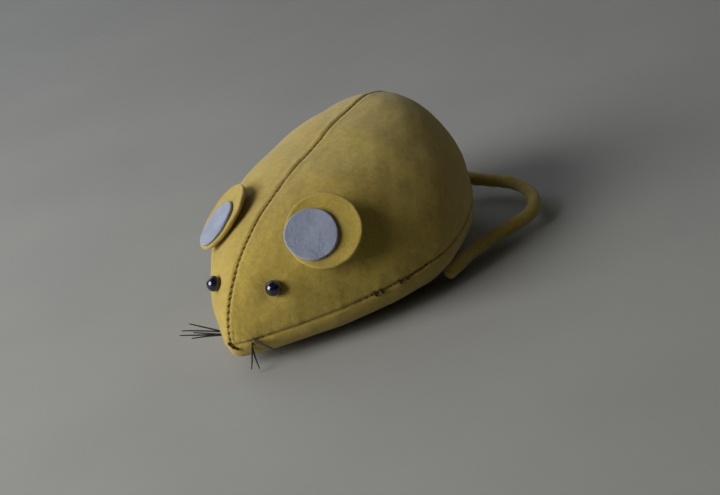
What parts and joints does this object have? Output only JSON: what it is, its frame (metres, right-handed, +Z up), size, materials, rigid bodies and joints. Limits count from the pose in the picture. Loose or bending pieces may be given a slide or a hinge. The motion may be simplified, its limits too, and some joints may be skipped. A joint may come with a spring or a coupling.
{
  "type": "clockwork mouse",
  "caption": "Sewn felt toy mouse with round ears, bead eyes and a curled tail, driven by a key-wound spring motor over a tin base plate with drive wheels and a tail roller.",
  "frame": {"origin": "on the floor, under the middle of the body's length and width", "axes": "+Z up, nose towards -Y, the mouse's left side towards +X"},
  "size_m": [0.0902, 0.105, 0.0439],
  "materials": {
    "yellow_felt": "mustard wool felt, matt and slightly fuzzy",
    "pale_felt": "white felt with a cold tint, matt",
    "wool": "loose carded wool",
    "ochre_thread": "twisted cotton sewing thread",
    "black_thread": "waxed black thread",
    "brown_thread": "dark brown thread",
    "blue_glass": "polished dark blue glass",
    "tin_plate": "tinned sheet steel",
    "steel": "turned mild steel",
    "spring_steel": "blued spring steel",
    "brass": "satin brass",
    "black_rubber": "matt black rubber",
    "turned_wood": "turned beech, oiled"
  },
  "bodies": {
    "mouse_body": {"left_side_panel": "yellow_felt", "right_side_panel": "yellow_felt", "base_panel": "yellow_felt", "wool_stuffing": "wool", "back_seam_thread": "ochre_thread", "base_seam_thread": "ochre_thread", "left_eye_bead": "blue_glass", "right_eye_bead": "blue_glass", "eye_thread": "black_thread", "left_whiskers": "black_thread", "right_whiskers": "black_thread", "nose_stitch": "brown_thread", "tail_shank_thread": "ochre_thread", "base_plate": "tin_plate", "left_frame_plate": "tin_plate", "right_frame_plate": "tin_plate", "frame_pillars": "steel", "motor_cover": "tin_plate", "cover_rivets": "steel", "mainspring": "spring_steel", "roller_pin": "steel", "key_guide_tube": "steel", "key_eyelet": "brass"},
    "great_wheel": {"great_wheel": "brass", "click_pin": "steel", "click_spring": "spring_steel"},
    "click": {"click_pawl": "brass"},
    "winding_arbor": {"winding_arbor": "steel", "ratchet_wheel": "brass", "winding_key": "steel"},
    "second_arbor": {"second_arbor": "steel", "second_wheel": "brass", "second_pinion": "brass"},
    "drive_axle": {"drive_axle": "steel", "drive_pinion": "brass", "left_drive_wheel": "tin_plate", "right_drive_wheel": "tin_plate", "left_tyre": "black_rubber", "right_tyre": "black_rubber"},
    "tail_roller": {"tail_roller": "turned_wood"},
    "left_ear": {"left_ear_outer": "yellow_felt", "left_ear_inner": "pale_felt", "left_ear_stitches": "ochre_thread"},
    "right_ear": {"right_ear_outer": "yellow_felt", "right_ear_inner": "pale_felt", "right_ear_stitches": "ochre_thread"},
    "tail": {"tail_felt": "yellow_felt", "tail_core_wire": "steel"}
  },
  "joints": [
    {"name": "great_wheel_spin", "type": "hinge", "parent": "mouse_body", "child": "great_wheel", "pos_m": [0.0048, 0.02108, 0.012], "axis": [1, 0, 0], "continuous": true, "deforming": ["mainspring"]},
    {"name": "winding_turn", "type": "hinge", "parent": "great_wheel", "child": "winding_arbor", "pos_m": [0, 0.02108, 0.012], "axis": [1, 0, 0], "continuous": true},
    {"name": "click_lift", "type": "hinge", "parent": "great_wheel", "child": "click", "pos_m": [0.0063, 0.02438, 0.01772], "axis": [-1, 0, 0], "range_deg": [0, 12], "stiffness_Nm_per_rad": 0.001, "springref_deg": -11.46, "deforming": ["click_spring"]},
    {"name": "second_arbor_spin", "type": "hinge", "parent": "mouse_body", "child": "second_arbor", "pos_m": [0, 0.00968, 0.0105], "axis": [1, 0, 0], "continuous": true},
    {"name": "drive_axle_spin", "type": "hinge", "parent": "mouse_body", "child": "drive_axle", "pos_m": [0, 0, 0.008], "axis": [1, 0, 0], "continuous": true},
    {"name": "tail_roller_spin", "type": "hinge", "parent": "mouse_body", "child": "tail_roller", "pos_m": [0, 0.0335, 0.004], "axis": [1, 0, 0], "continuous": true},
    {"name": "left_ear_flap", "type": "hinge", "parent": "mouse_body", "child": "left_ear", "pos_m": [0.01189, -0.02987, 0.02689], "axis": [0.5891, -0.3476, -0.7295], "range_deg": [0, 25], "stiffness_Nm_per_rad": 0.0008, "springref_deg": -11.46},
    {"name": "right_ear_flap", "type": "hinge", "parent": "mouse_body", "child": "right_ear", "pos_m": [-0.00786, -0.02948, 0.02961], "axis": [0.5877, 0.5035, 0.6333], "range_deg": [0, 25], "stiffness_Nm_per_rad": 0.0008, "springref_deg": -11.46},
    {"name": "tail_swing", "type": "hinge", "parent": "mouse_body", "child": "tail", "pos_m": [0, 0.0502, 0.0129], "axis": [0, 0, 1], "range_deg": [0, 40]}
  ],
  "couplings": [
    {"joint": "second_arbor_spin", "follows": "great_wheel_spin", "ratio": -3.6},
    {"joint": "drive_axle_spin", "follows": "great_wheel_spin", "ratio": 10.8}
  ]
}
